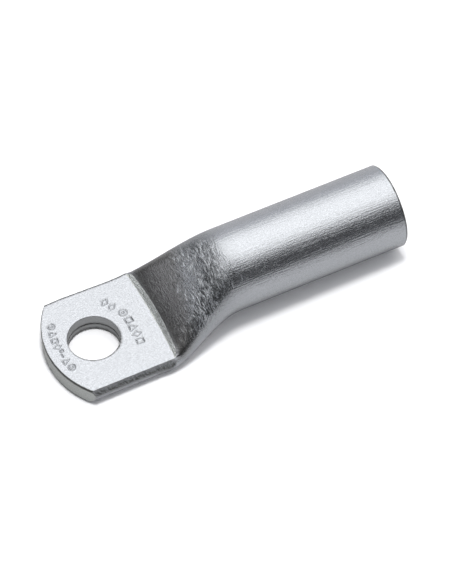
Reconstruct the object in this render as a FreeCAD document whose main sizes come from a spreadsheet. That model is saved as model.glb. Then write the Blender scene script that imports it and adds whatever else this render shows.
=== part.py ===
import FreeCAD, Part
import math
import os

import Sketcher

# Cable lug pressed from one length of copper tube and then tin plated.
# The conductor goes into the round barrel. The other end of the tube is pressed flat, coined to a
# palm and punched for a stud. The flare between them keeps the girth of the tube.
#
# Frame: the origin is on the palm's underside, at the middle of the stud hole. +X runs along the
# barrel to its open mouth, and +Z is up.

# Driving sizes in millimetres, and one angle in degrees
SIZES = {
    "tube_diameter": 18.0,
    "tube_wall": 2.25,
    "mouth_distance": 68.0,
    "barrel_lift": 0.95,
    "flare_start": 10.1,
    "flare_length": 20.0,
    "pressed_height": 4.55,
    "crown": 0.08,
    "palm_thickness": 4.45,
    "palm_width": 25.0,
    "shoulder_step": 0.5,
    "fold_radius": 2.25,
    "coined_length": 13.1,
    "ramp_angle": 57.0,
    "ramp_foot_radius": 0.4,
    "tip_radius": 18.6,
    "tip_reach": 10.2,
    "corner_radius": 1.5,
    "stud_hole_diameter": 11.0,
    "seam_height": 1.9,
    "seam_depth": 0.15,
    "slit_gap": 0.3,
    "mouth_chamfer": 0.6,
    "rim_chamfer": 0.3,
}

# Shares of the flare's length at which its oval cross-sections stand
OUTER_STATIONS = (0.2, 0.4, 0.6, 0.8)
INNER_STATIONS = (0.4, 0.6, 0.8)

# Half the angle of the top and bottom arcs where the flare has become round, in degrees
ROUND_SPLIT = 10.0

# How far a cutting profile reaches past the metal that it removes
CUT_MARGIN = 3.0

# How far outside the folds the far corner's rounding ends, so that it runs off the metal
CORNER_CLEARANCE = 0.05

# How nearly an edge must have the radius and place that are looked for
MATCH = 1e-4

# Position numbers of a sketch element: its start, its end and its centre
START, END, CENTRE = range(1, 4)

# Numbers that a sketch gives to its own axes. The start of the X axis is the sketch's origin.
X_AXIS, Y_AXIS = range(-1, -3, -1)

UP = math.pi / 2

doc = FreeCAD.newDocument("cable_lug")
sheet = doc.addObject("Spreadsheet::Sheet", "sizes")
for row, (alias, number) in enumerate(SIZES.items(), start=1):
    sheet.set(f"A{row}", alias)
    sheet.set(f"B{row}", str(number))
    sheet.setAlias(f"B{row}", alias)
doc.recompute()

body = doc.addObject("PartDesign::Body", "lug_body")
body.Label = "cable_lug"


# Small helpers for sketches


def value(formula):
    """The number that a formula over the sheet's sizes gives."""
    return float(sheet.evalExpression(formula))


def origin_item(role):
    """One of the body's own origin planes or axes, found by its role."""
    return next(item for item in body.Origin.OriginFeatures if item.Role == role)


def new_sketch(name, role, offset=None):
    """A sketch on an origin plane, moved along the plane's normal by a formula."""
    sketch = body.newObject("Sketcher::SketchObject", name)
    sketch.AttachmentSupport = [(origin_item(role), "")]
    sketch.MapMode = "FlatFace"
    if offset:
        sketch.setExpression("AttachmentOffset.Base.z", offset)
    return sketch


def arc(centre, radius, first, last):
    """An arc of a circle, anticlockwise between two angles in radians."""
    circle = Part.Circle(FreeCAD.Vector(*centre, 0), FreeCAD.Vector(0, 0, 1), radius)
    return Part.ArcOfCircle(circle, first, last)


def line(first, last):
    """A straight line between two points."""
    return Part.LineSegment(FreeCAD.Vector(*first, 0), FreeCAD.Vector(*last, 0))


def relate(sketch, kind, *where):
    """Adds a geometric constraint."""
    sketch.addConstraint(Sketcher.Constraint(kind, *where))


def join(sketch, kind, *elements):
    """Joins each element's end to the next one's start."""
    for here, following in zip(elements, elements[1:]):
        relate(sketch, kind, here, END, following, START)


def measure(sketch, kind, formula, *where):
    """Adds a dimension that follows a formula over the sheet's sizes."""
    index = sketch.addConstraint(Sketcher.Constraint(kind, *where, value(formula)))
    sketch.setExpression(f"Constraints[{index}]", formula)


def place(sketch, kind, formula, element, point):
    """Puts a point at a formula's distance from the sketch's origin, on the side of its sign."""
    if value(formula) < 0:
        measure(sketch, kind, f"-({formula})", element, point, X_AXIS, START)
    else:
        measure(sketch, kind, formula, X_AXIS, START, element, point)


# The flare: a flattened oval at the palm that grows round towards the barrel


def rise(share):
    """The flare's soft S-shaped growth, from 0 at the palm to 1 at the barrel."""
    return share**2 * (3 - 2 * share)


def station(share):
    """Formula for a flare section's distance from the stud hole."""
    return f"sizes.flare_start + {share} * sizes.flare_length"


def four_arcs(centres, radii, half_angles):
    """A closed oval of four arcs: roof, left side, floor and right side, anticlockwise."""
    roof, left, floor, right = centres
    roof_radius, side_radius, floor_radius = radii
    high, low = half_angles
    return [
        arc(roof, roof_radius, UP - high, UP + high),
        arc(left, side_radius, UP + high, 3 * UP - low),
        arc(floor, floor_radius, -UP - low, -UP + low),
        arc(right, side_radius, -UP + low, UP - high),
    ]


def oval_sketch(name, share, inset):
    """A flare section with the tube's own girth, or the hollow that its wall leaves inside it.

    The side arcs are less than half the height, by the crown's share. Near the palm they sit low,
    because the anvil keeps the floor flat and only the roof is crowned.
    """
    grown = f"{rise(share):.6f}"
    height = f"(sizes.pressed_height + {grown} * (sizes.tube_diameter - sizes.pressed_height))"
    half_width = f"(pi * sizes.tube_diameter - (pi - 2) * {height}) / 4"
    side = f"({height} / 2 * (1 - (1 - {grown}) * sizes.crown))"
    spare = f"({height} / 2 - {side})"
    across = f"({half_width} - {side})"
    below = f"({side} + {grown} * {spare})"
    above = f"({height} - {below})"
    middle = f"{grown} * sizes.barrel_lift + {below}"
    roof_radius = f"({across}^2 + {above}^2 - {side}^2) / (2 * ({above} - {side}))"
    floor_radius = f"({across}^2 + {below}^2 - {side}^2) / (2 * ({below} - {side}))"

    reach, level = value(across), value(middle)
    roof_drop = value(f"{roof_radius} - {above}")
    floor_drop = value(f"{floor_radius} - {below}")
    half_angles = (math.atan2(reach, roof_drop), math.atan2(reach, floor_drop))
    centres = [(0, level - roof_drop), (-reach, level), (0, level + floor_drop), (reach, level)]
    inner_radii = [f"{radius} - {inset}" for radius in (roof_radius, side, floor_radius)]

    sketch = new_sketch(name, "YZ_Plane", station(share))
    arcs = four_arcs(centres, [value(radius) for radius in inner_radii], half_angles)
    roof, left, floor, right = sketch.addGeometry(arcs)
    join(sketch, "Tangent", roof, left, floor, right, roof)
    relate(sketch, "Symmetric", left, CENTRE, right, CENTRE, Y_AXIS)
    relate(sketch, "Equal", left, right)
    place(sketch, "DistanceX", across, right, CENTRE)
    place(sketch, "DistanceY", middle, right, CENTRE)
    for element, radius in zip((roof, right, floor), inner_radii):
        measure(sketch, "Radius", radius, element)
    return sketch


def round_sketch(name, inset):
    """The flare's last section: a circle in four arcs, so that each arc of an oval has its match."""
    radius = f"(sizes.tube_diameter / 2 - {inset})"
    middle = "sizes.barrel_lift + sizes.tube_diameter / 2"
    split = f"2 * {radius} * sin({ROUND_SPLIT} deg)"

    sketch = new_sketch(name, "YZ_Plane", station(1))
    centres = [(0, value(middle))] * 4
    arcs = four_arcs(centres, [value(radius)] * 3, [math.radians(ROUND_SPLIT)] * 2)
    roof, left, floor, right = sketch.addGeometry(arcs)
    join(sketch, "Coincident", floor, right, roof, left)
    relate(sketch, "PointOnObject", roof, CENTRE, Y_AXIS)
    for other in (left, floor, right):
        relate(sketch, "Coincident", other, CENTRE, roof, CENTRE)
    relate(sketch, "Horizontal", roof, START, roof, END)
    relate(sketch, "Horizontal", floor, START, floor, END)
    relate(sketch, "Horizontal", left, END, right, START)
    place(sketch, "DistanceY", middle, roof, CENTRE)
    measure(sketch, "Radius", radius, roof)
    measure(sketch, "DistanceX", split, roof, END, roof, START)
    measure(sketch, "DistanceX", split, floor, START, floor, END)
    return sketch


def stadium_sketch(name, place_on_x, half_flat, radius, middle):
    """A flattened section of two straight lines and two half circles."""
    reach, bend, level = value(half_flat), value(radius), value(middle)

    sketch = new_sketch(name, "YZ_Plane", place_on_x)
    roof, left, floor, right = sketch.addGeometry(
        [
            line((reach, level + bend), (-reach, level + bend)),
            arc((-reach, level), bend, UP, 3 * UP),
            line((-reach, level - bend), (reach, level - bend)),
            arc((reach, level), bend, -UP, UP),
        ]
    )
    join(sketch, "Tangent", roof, left, floor, right, roof)
    relate(sketch, "Symmetric", left, CENTRE, right, CENTRE, Y_AXIS)
    place(sketch, "DistanceX", half_flat, right, CENTRE)
    place(sketch, "DistanceY", middle, right, CENTRE)
    measure(sketch, "Radius", radius, right)
    return sketch


# The palm: the flattened tube, squared at its top edges, coined, cropped and punched


def palm_section_sketch(name, place_on_x):
    """The palm's cross-section: a flat underside, two folds, and square shoulders at the top."""
    half_flat = "sizes.palm_width / 2 - sizes.fold_radius"
    half_face = "sizes.palm_width / 2 - sizes.shoulder_step"
    reach, radius, face = value(half_flat), value("sizes.fold_radius"), value(half_face)
    thickness = value("sizes.palm_thickness")
    turn = math.acos((face - reach) / radius)
    shoulder = radius * (1 + math.sin(turn))

    sketch = new_sketch(name, "YZ_Plane", place_on_x)
    floor, right, right_wall, roof, left_wall, left = sketch.addGeometry(
        [
            line((-reach, 0), (reach, 0)),
            arc((reach, radius), radius, -UP, turn),
            line((face, shoulder), (face, thickness)),
            line((face, thickness), (-face, thickness)),
            line((-face, thickness), (-face, shoulder)),
            arc((-reach, radius), radius, 2 * UP - turn, 3 * UP),
        ]
    )
    join(sketch, "Tangent", left, floor, right)
    join(sketch, "Coincident", right, right_wall, roof, left_wall, left)
    relate(sketch, "Symmetric", floor, START, floor, END, Y_AXIS)
    relate(sketch, "PointOnObject", floor, START, X_AXIS)
    relate(sketch, "Symmetric", roof, START, roof, END, Y_AXIS)
    relate(sketch, "Vertical", right_wall)
    relate(sketch, "Vertical", left_wall)
    relate(sketch, "Equal", left, right)
    place(sketch, "DistanceX", half_flat, floor, END)
    measure(sketch, "Radius", "sizes.fold_radius", right)
    place(sketch, "DistanceX", half_face, roof, START)
    place(sketch, "DistanceY", "sizes.palm_thickness", roof, START)
    return sketch


def shoulder_sketch(name, place_on_x):
    """The square upper half of the palm's section, which the die also presses into the flare."""
    half_face = "sizes.palm_width / 2 - sizes.shoulder_step"
    face, low, high = value(half_face), value("sizes.fold_radius"), value("sizes.palm_thickness")

    sketch = new_sketch(name, "YZ_Plane", place_on_x)
    base, right, roof, left = sketch.addGeometry(
        [
            line((-face, low), (face, low)),
            line((face, low), (face, high)),
            line((face, high), (-face, high)),
            line((-face, high), (-face, low)),
        ]
    )
    join(sketch, "Coincident", base, right, roof, left, base)
    relate(sketch, "Horizontal", base)
    relate(sketch, "Vertical", left)
    relate(sketch, "Vertical", right)
    relate(sketch, "Symmetric", roof, START, roof, END, Y_AXIS)
    place(sketch, "DistanceX", half_face, roof, START)
    place(sketch, "DistanceY", "sizes.palm_thickness", roof, START)
    place(sketch, "DistanceY", "sizes.fold_radius", base, END)
    return sketch


def coin_sketch(name):
    """Side view of what the die presses away: it leaves a flat face that ends in a steep ramp."""
    rear_place = f"-sizes.tip_reach - {CUT_MARGIN}"
    setback = "sizes.ramp_foot_radius * tan(sizes.ramp_angle * 1 deg / 2)"
    flat_end = f"sizes.coined_length - {setback}"
    top_place = "sizes.palm_thickness + sizes.tube_diameter"
    angle, radius = math.radians(value("sizes.ramp_angle")), value("sizes.ramp_foot_radius")
    face, top, rear_x = value("sizes.palm_thickness"), value(top_place), value(rear_place)
    corner, bend_start = value("sizes.coined_length"), value(flat_end)
    bend_length = corner - bend_start
    foot = (corner + bend_length * math.cos(angle), face + bend_length * math.sin(angle))
    head = (corner + (top - face) / math.tan(angle), top)

    sketch = new_sketch(name, "XZ_Plane")
    flat, bend, ramp, roof, rear = sketch.addGeometry(
        [
            line((rear_x, face), (bend_start, face)),
            arc((bend_start, face + radius), radius, -UP, angle - UP),
            line(foot, head),
            line(head, (rear_x, top)),
            line((rear_x, top), (rear_x, face)),
        ]
    )
    join(sketch, "Tangent", flat, bend, ramp)
    join(sketch, "Coincident", ramp, roof, rear, flat)
    relate(sketch, "Horizontal", flat)
    relate(sketch, "Horizontal", roof)
    relate(sketch, "Vertical", rear)
    place(sketch, "DistanceX", rear_place, flat, START)
    place(sketch, "DistanceY", "sizes.palm_thickness", flat, START)
    place(sketch, "DistanceX", flat_end, flat, END)
    place(sketch, "DistanceY", top_place, roof, START)
    measure(sketch, "Radius", "sizes.ramp_foot_radius", bend)
    measure(sketch, "Angle", "sizes.ramp_angle * 1 deg", X_AXIS, START, ramp, START)
    return sketch


def tip_sketch(name):
    """Plan of what is cropped off the palm's end: a wide arc, with the far corner rounded."""
    corner_place = f"sizes.palm_width / 2 + {CORNER_CLEARANCE}"
    side_place = f"sizes.palm_width / 2 + {CUT_MARGIN}"
    rear_place = f"-sizes.tip_reach - {CUT_MARGIN}"
    centre = "sizes.tip_radius - sizes.tip_reach"
    wide, small = value("sizes.tip_radius"), value("sizes.corner_radius")
    top, edge, rear_x, middle = (
        value(formula) for formula in (corner_place, side_place, rear_place, centre)
    )
    corner_y = top - small
    corner_x = middle - math.sqrt((wide - small) ** 2 - corner_y**2)
    touch = math.atan2(corner_y, corner_x - middle)
    near_turn = 2 * UP + math.asin(edge / wide)
    near_x = middle + wide * math.cos(near_turn)

    sketch = new_sketch(name, "XY_Plane")
    rounding, tip, near, rear, far, stem = sketch.addGeometry(
        [
            arc((corner_x, corner_y), small, UP, touch),
            arc((middle, 0), wide, touch, near_turn),
            line((near_x, -edge), (rear_x, -edge)),
            line((rear_x, -edge), (rear_x, edge)),
            line((rear_x, edge), (corner_x, edge)),
            line((corner_x, edge), (corner_x, top)),
        ]
    )
    join(sketch, "Tangent", rounding, tip)
    join(sketch, "Coincident", tip, near, rear, far, stem, rounding)
    relate(sketch, "PointOnObject", tip, CENTRE, X_AXIS)
    relate(sketch, "Vertical", rounding, START, rounding, CENTRE)
    relate(sketch, "Horizontal", near)
    relate(sketch, "Vertical", rear)
    relate(sketch, "Horizontal", far)
    relate(sketch, "Vertical", stem)
    place(sketch, "DistanceX", centre, tip, CENTRE)
    measure(sketch, "Radius", "sizes.tip_radius", tip)
    measure(sketch, "Radius", "sizes.corner_radius", rounding)
    place(sketch, "DistanceY", corner_place, rounding, START)
    place(sketch, "DistanceY", f"-({side_place})", tip, END)
    place(sketch, "DistanceY", side_place, far, START)
    place(sketch, "DistanceX", rear_place, rear, START)
    return sketch


def seam_sketch(name, wall):
    """A small V at the seam between the two pressed layers. It points in +X from a wall's place."""
    point_place = f"{wall} + sizes.seam_depth"
    mouth_place = f"{wall} - sizes.seam_depth"
    high_place = "sizes.seam_height + 2 * sizes.seam_depth"
    low_place = "sizes.seam_height - 2 * sizes.seam_depth"
    point = (value(point_place), value("sizes.seam_height"))
    high, low = (value(mouth_place), value(high_place)), (value(mouth_place), value(low_place))

    sketch = new_sketch(name, "XZ_Plane")
    upper, mouth, lower = sketch.addGeometry([line(point, high), line(high, low), line(low, point)])
    join(sketch, "Coincident", upper, mouth, lower, upper)
    relate(sketch, "Vertical", mouth)
    place(sketch, "DistanceX", point_place, upper, START)
    place(sketch, "DistanceY", "sizes.seam_height", upper, START)
    place(sketch, "DistanceX", mouth_place, mouth, START)
    place(sketch, "DistanceY", high_place, mouth, START)
    place(sketch, "DistanceY", low_place, mouth, END)
    return sketch


def circle_sketch(name, role, offset, diameter, height=None):
    """A circle at its sketch's origin, or a formula's height above it."""
    level = value(height) if height else 0
    circle = Part.Circle(FreeCAD.Vector(0, level, 0), FreeCAD.Vector(0, 0, 1), value(diameter) / 2)
    sketch = new_sketch(name, role, offset)
    ring = sketch.addGeometry(circle)
    if height:
        relate(sketch, "PointOnObject", ring, CENTRE, Y_AXIS)
        place(sketch, "DistanceY", height, ring, CENTRE)
    else:
        relate(sketch, "Coincident", ring, CENTRE, X_AXIS, START)
    measure(sketch, "Diameter", diameter, ring)
    return sketch


# Features, each checked as it is made


def finish_feature(feature, removes):
    """Recomputes, and stops if the feature failed or did not add or remove metal as it should."""
    before = finish_feature.volume
    doc.recompute()
    after = feature.Shape.Volume
    if not feature.isValid() or not feature.Shape.isValid():
        raise SystemExit(f"{feature.Name} failed")
    if (after < before) != removes:
        raise SystemExit(f"{feature.Name} changed the volume from {before:.2f} to {after:.2f}")
    finish_feature.volume = after
    return feature


finish_feature.volume = 0.0


def extrude(kind, name, sketch, length=None, reverse=False, both_ways=False):
    """A pad or pocket of a sketch, of a formula's length or right through."""
    feature = body.newObject(f"PartDesign::{kind}", name)
    feature.Profile = sketch
    feature.Reversed = reverse
    if both_ways:
        feature.SideType = "Symmetric"
    if length:
        feature.setExpression("Length", length)
    else:
        feature.Type = "ThroughAll"
    return finish_feature(feature, removes=kind == "Pocket")


def loft(kind, name, sketches):
    """A smooth loft through sections in order."""
    feature = body.newObject(f"PartDesign::{kind}Loft", name)
    feature.Profile = sketches[0]
    feature.Sections = sketches[1:]
    return finish_feature(feature, removes=kind == "Subtractive")


def groove(name, sketch, axis, angle):
    """A groove turned about an axis, to both sides of its sketch."""
    feature = body.newObject("PartDesign::Groove", name)
    feature.Profile = sketch
    feature.ReferenceAxis = axis
    feature.Midplane = True
    feature.Angle = angle
    return finish_feature(feature, removes=True)


def chamfer(name, diameter):
    """A chamfer of the size with its own name, on the mouth's round edge of one diameter."""
    base = body.Tip
    mouth, radius = value("sizes.mouth_distance"), value(diameter) / 2
    names = []
    for number, edge in enumerate(base.Shape.Edges, start=1):
        if isinstance(edge.Curve, Part.Circle) and abs(edge.Curve.Radius - radius) < MATCH:
            if abs(edge.Curve.Center.x - mouth) < MATCH:
                names.append(f"Edge{number}")
    feature = body.newObject("PartDesign::Chamfer", name)
    feature.Base = (base, names)
    feature.setExpression("Size", f"sizes.{name}")
    return finish_feature(feature, removes=True)


# The barrel, the flare and the palm as solid metal

axis_height = "sizes.barrel_lift + sizes.tube_diameter / 2"
barrel_length = f"sizes.mouth_distance - ({station(1)})"
bore_diameter = "sizes.tube_diameter - 2 * sizes.tube_wall"

barrel_section = circle_sketch(
    "barrel_section", "YZ_Plane", station(1), "sizes.tube_diameter", axis_height
)
extrude("Pad", "barrel", barrel_section, barrel_length)

half_flat = "sizes.palm_width / 2 - sizes.fold_radius"
outer_sections = [
    stadium_sketch("flare_outside_start", station(0), half_flat, "sizes.fold_radius", "sizes.fold_radius")
]
for number, share in enumerate(OUTER_STATIONS, start=1):
    outer_sections.append(oval_sketch(f"flare_outside_{number}", share, "0"))
outer_sections.append(round_sketch("flare_outside_end", "0"))
loft("Additive", "flare", outer_sections)

palm_length = f"{station(0)} + sizes.tip_reach + {CUT_MARGIN}"
palm_section = palm_section_sketch("palm_section", station(0))
extrude("Pad", "palm", palm_section, palm_length, reverse=True)

shoulder_length = f"sizes.coined_length - ({station(0)})"
shoulders = shoulder_sketch("shoulder_section", "sizes.coined_length")
extrude("Pad", "shoulders", shoulders, shoulder_length, reverse=True)

# The palm coined flat, cropped round its tip and punched for the stud

extrude("Pocket", "coined_face", coin_sketch("coin_profile"), both_ways=True)
extrude("Pocket", "cropped_tip", tip_sketch("tip_outline"), reverse=True)
stud_section = circle_sketch("stud_hole_outline", "XY_Plane", None, "sizes.stud_hole_diameter")
extrude("Pocket", "stud_hole", stud_section, reverse=True)

# The conductor's bore, and the hollow that narrows behind it as the walls close on each other

bore_section = circle_sketch(
    "bore_section", "YZ_Plane", "sizes.mouth_distance", bore_diameter, axis_height
)
extrude("Pocket", "conductor_bore", bore_section, barrel_length)

slit_start = "sizes.coined_length + sizes.slit_gap"
inner_sections = [
    stadium_sketch("slit", slit_start, half_flat, "sizes.slit_gap / 2", "sizes.seam_height")
]
for number, share in enumerate(INNER_STATIONS, start=1):
    inner_sections.append(oval_sketch(f"flare_inside_{number}", share, "sizes.tube_wall"))
inner_sections.append(round_sketch("flare_inside_end", "sizes.tube_wall"))
loft("Subtractive", "flare_hollow", inner_sections)

# The seam between the two layers, open in the stud hole's wall

hole_seam = seam_sketch("hole_seam_profile", "sizes.stud_hole_diameter / 2")
groove("hole_seam", hole_seam, (origin_item("Z_Axis"), [""]), 360)

# The mouth: a chamfer that leads the conductor in, and a rim with its sharp edge taken off

chamfer("mouth_chamfer", bore_diameter)
chamfer("rim_chamfer", "sizes.tube_diameter")

# Every object and the finished solid are checked before anything is written

doc.recompute()
for item in doc.Objects:
    if "Invalid" in item.State or "Error" in item.State:
        raise SystemExit(f"{item.Name} is in the state {item.State}")
if body.Shape.isNull() or not body.Shape.isValid() or len(body.Shape.Solids) != 1:
    raise SystemExit("the lug is not one valid solid")

os.makedirs("parts", exist_ok=True)
body.Shape.exportStep(f"parts/{body.Label}.step")
box = body.Shape.BoundBox
print(f"cable_lug: {box.XLength:.2f} x {box.YLength:.2f} x {box.ZLength:.2f} mm")
print(f"volume {body.Shape.Volume:.1f} mm3, lowest {box.ZMin:.3f}, from {box.XMin:.2f} to {box.XMax:.2f}")
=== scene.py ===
"""Dressed model of a tinned copper cable lug: one mesh in place of the plain CAD solid.

The mesh is a set of lines that run from the tip to the mouth, crossed by stations. On the palm the
lines are straight; on the flare each keeps its share of the section's arcs, as the CAD's loft does.
Lengths are millimetres until the mesh is made.
"""

import math

import bmesh
import bpy
import numpy as np
from mathutils import Matrix, Vector


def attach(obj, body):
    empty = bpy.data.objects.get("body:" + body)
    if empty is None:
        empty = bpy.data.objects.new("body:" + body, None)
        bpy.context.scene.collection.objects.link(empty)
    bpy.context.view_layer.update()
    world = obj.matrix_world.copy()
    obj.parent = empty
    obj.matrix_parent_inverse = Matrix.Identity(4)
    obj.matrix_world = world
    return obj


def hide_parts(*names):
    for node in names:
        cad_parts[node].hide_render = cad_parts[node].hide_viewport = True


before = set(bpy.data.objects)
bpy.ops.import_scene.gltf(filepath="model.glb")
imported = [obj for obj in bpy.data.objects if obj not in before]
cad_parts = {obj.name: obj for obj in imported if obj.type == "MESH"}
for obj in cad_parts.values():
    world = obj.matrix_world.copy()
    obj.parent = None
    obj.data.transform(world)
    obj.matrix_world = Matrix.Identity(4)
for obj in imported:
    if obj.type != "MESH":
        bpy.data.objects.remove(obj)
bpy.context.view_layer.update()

MM = 0.001

# Sizes that the CAD solid has too.
TUBE = 18.0
WALL = 2.25
MOUTH = 68.0
LIFT = 0.95
FLARE_START = 10.1
FLARE_LENGTH = 20.0
FLARE_END = FLARE_START + FLARE_LENGTH
PRESSED = 4.55
CROWN = 0.08
PALM = 4.45
FACE_HALF = 12.0
FOLD = 2.25
FLAT_HALF = 10.25
COIN_END = 13.1
RAMP_ANGLE = math.radians(57)
FOOT_RADIUS = 0.4
TIP_RADIUS = 18.6
TIP_REACH = 10.2
CORNER = 1.5
HOLE = 5.5
SEAM_HEIGHT = 1.9
SEAM_DEPTH = 0.15
SLIT_HALF = 0.15
MOUTH_CHAMFER = 0.6
RIM_CHAMFER = 0.3
ROUND_SPLIT = math.radians(10)
AXIS_HEIGHT = LIFT + TUBE / 2
BORE = TUBE / 2 - WALL
BARREL_END = MOUTH - RIM_CHAMFER

# Roundings that only this model has: the palm's edges and the rims of its hole.
EDGE_RADIUS = 0.34
NEAR_EDGE_RADIUS = 0.04
TIP_EDGE_RADIUS = 0.14
LOW_EDGE_RADIUS = 0.2
RIM = 0.12

# Cells of the mesh: across the palm's face, down a side, then along the palm and the tube.
TOP_CELLS = 144
EDGE_CELLS = 4
WALL_CELLS = 4
FOLD_CELLS = 15
SIDE_CELLS = EDGE_CELLS + WALL_CELLS + FOLD_CELLS
PALM_CELLS = 84
FLARE_CELLS = 100
BARREL_CELLS = 16


# Sections of the flare ------------------------------------------------------------------------

def oval(share, inset=0.0):
    """The arcs of the flare's section at a share of its length.

    Roof and floor give the centre's height, the radius and half the angle. The side gives y and z
    of its centre and the radius.
    """
    grown = share * share * (3 - 2 * share)
    height = PRESSED + grown * (TUBE - PRESSED)
    half_width = (math.pi * TUBE - (math.pi - 2) * height) / 4
    side = height / 2 * (1 - (1 - grown) * CROWN)
    spare = height / 2 - side
    across = half_width - side
    below = side + grown * spare
    above = height - below
    middle = LIFT * grown + below
    roof = (across ** 2 + above ** 2 - side ** 2) / (2 * (above - side))
    floor = (across ** 2 + below ** 2 - side ** 2) / (2 * (below - side))
    roof_drop, floor_drop = roof - above, floor - below
    return {
        "roof": (middle - roof_drop, roof - inset, math.atan2(across, roof_drop)),
        "floor": (middle + floor_drop, floor - inset, math.atan2(across, floor_drop)),
        "side": (across, middle, side - inset),
    }


def circle(radius):
    """The arcs of a round section about the barrel's axis, given as in oval."""
    return {
        "roof": (AXIS_HEIGHT, radius, ROUND_SPLIT),
        "floor": (AXIS_HEIGHT, radius, ROUND_SPLIT),
        "side": (0.0, AXIS_HEIGHT, radius),
    }


def on_section(section, turn):
    """Points (y, z) of a section at turns round it.

    Turns 0 to 1 are the roof, 1 to 2 the near side, 2 to 3 the floor and 3 to 4 the far side.
    """
    turn = np.mod(turn, 4.0)
    points = np.zeros(turn.shape + (2,))
    across, middle, side = section["side"]
    roof_centre, roof_radius, roof_angle = section["roof"]
    floor_centre, floor_radius, floor_angle = section["floor"]

    part = turn < 1
    angle = roof_angle * (1 - 2 * turn[part])
    points[part] = np.stack(
        (roof_radius * np.sin(angle), roof_centre + roof_radius * np.cos(angle)), -1)
    first, last = math.pi / 2 - roof_angle, floor_angle - math.pi / 2
    part = (turn >= 1) & (turn < 2)
    angle = first + (last - first) * (turn[part] - 1)
    points[part] = np.stack((-across - side * np.cos(angle), middle + side * np.sin(angle)), -1)
    part = (turn >= 2) & (turn < 3)
    angle = floor_angle * (2 * (turn[part] - 2) - 1)
    points[part] = np.stack(
        (floor_radius * np.sin(angle), floor_centre - floor_radius * np.cos(angle)), -1)
    part = turn >= 3
    angle = last + (first - last) * (turn[part] - 3)
    points[part] = np.stack((across + side * np.cos(angle), middle + side * np.sin(angle)), -1)
    return points


def stadium(half_flat, radius, middle, turn):
    """Points (y, z) of a flattened tube's section, at the same turns as on_section."""
    turn = np.mod(turn, 4.0)
    points = np.zeros(turn.shape + (2,))
    part = turn < 1
    flat = half_flat * (1 - 2 * turn[part])
    points[part] = np.stack((flat, np.full(flat.shape, middle + radius)), -1)
    part = (turn >= 1) & (turn < 2)
    angle = math.pi / 2 - math.pi * (turn[part] - 1)
    points[part] = np.stack(
        (-half_flat - radius * np.cos(angle), middle + radius * np.sin(angle)), -1)
    part = (turn >= 2) & (turn < 3)
    flat = half_flat * (2 * (turn[part] - 2) - 1)
    points[part] = np.stack((flat, np.full(flat.shape, middle - radius)), -1)
    part = turn >= 3
    angle = -math.pi / 2 + math.pi * (turn[part] - 3)
    points[part] = np.stack(
        (half_flat + radius * np.cos(angle), middle + radius * np.sin(angle)), -1)
    return points


def through(shares, sections, share):
    """The polynomial through the sections, taken at a share for each line."""
    result = np.zeros(np.broadcast_shapes(np.shape(share), sections[0].shape[:-1]) + (2,))
    for i, own in enumerate(shares):
        weight = np.ones(np.shape(share))
        for j, other in enumerate(shares):
            if i != j:
                weight = weight * (share - other) / (own - other)
        result += weight[..., None] * sections[i]
    return result


OUTER_SHARES = (0.0, 0.2, 0.4, 0.6, 0.8, 1.0)


def outer(turn, x):
    """Points (x, y, z) of the outside, from the flare's start to the mouth."""
    turn, x = np.broadcast_arrays(np.asarray(turn, float), np.asarray(x, float))
    sections = [stadium(FLAT_HALF, FOLD, FOLD, turn)]
    sections += [on_section(oval(share), turn) for share in OUTER_SHARES[1:-1]]
    sections += [on_section(circle(TUBE / 2), turn)]
    share = np.clip((x - FLARE_START) / FLARE_LENGTH, 0.0, 1.0)
    flat = through(OUTER_SHARES, sections, share)
    return np.stack((x, flat[..., 0], flat[..., 1]), -1)


SLIT_START = 13.4
SLIT_SHARE = (SLIT_START - FLARE_START) / FLARE_LENGTH
INNER_SHARES = (SLIT_SHARE, 0.4, 0.6, 0.8, 1.0)


def inner(turn, x):
    """Points (x, y, z) of the hollow inside the flare, from the slit to the bore's start."""
    turn, x = np.broadcast_arrays(np.asarray(turn, float), np.asarray(x, float))
    sections = [stadium(FLAT_HALF, SLIT_HALF, SEAM_HEIGHT, turn)]
    sections += [on_section(oval(share, WALL), turn) for share in INNER_SHARES[1:-1]]
    sections += [on_section(circle(BORE), turn)]
    share = np.clip((x - FLARE_START) / FLARE_LENGTH, SLIT_SHARE, 1.0)
    flat = through(INNER_SHARES, sections, share)
    return np.stack((x, flat[..., 0], flat[..., 1]), -1)


# The ramp at the end of the coined face ---------------------------------------------------------

SLOPE = math.tan(RAMP_ANGLE)
TANGENT = FOOT_RADIUS * math.tan(RAMP_ANGLE / 2)
FOOT_START = COIN_END - TANGENT
FOOT_END = COIN_END + TANGENT * math.cos(RAMP_ANGLE)
FOOT_BULGE = 0.45


def bulge(y):
    """How far the ramp's foot stands back towards the barrel at y: most in the middle."""
    return FOOT_BULGE * np.clip(1 - (y / FACE_HALF) ** 2, 0, 1)


def cut(x):
    """Height of the coined face and the ramp at x."""
    foot = PALM + FOOT_RADIUS - np.sqrt(
        np.clip(FOOT_RADIUS ** 2 - (x - FOOT_START) ** 2, 0, None))
    ramp = PALM + (x - COIN_END) * SLOPE
    return np.where(x < FOOT_START, PALM, np.where(x < FOOT_END, foot, ramp))


# Lines -------------------------------------------------------------------------------------------

# How far below the face the upright lines of a side reach at the ramp's foot.
WALL_REACH = 0.78


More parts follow.
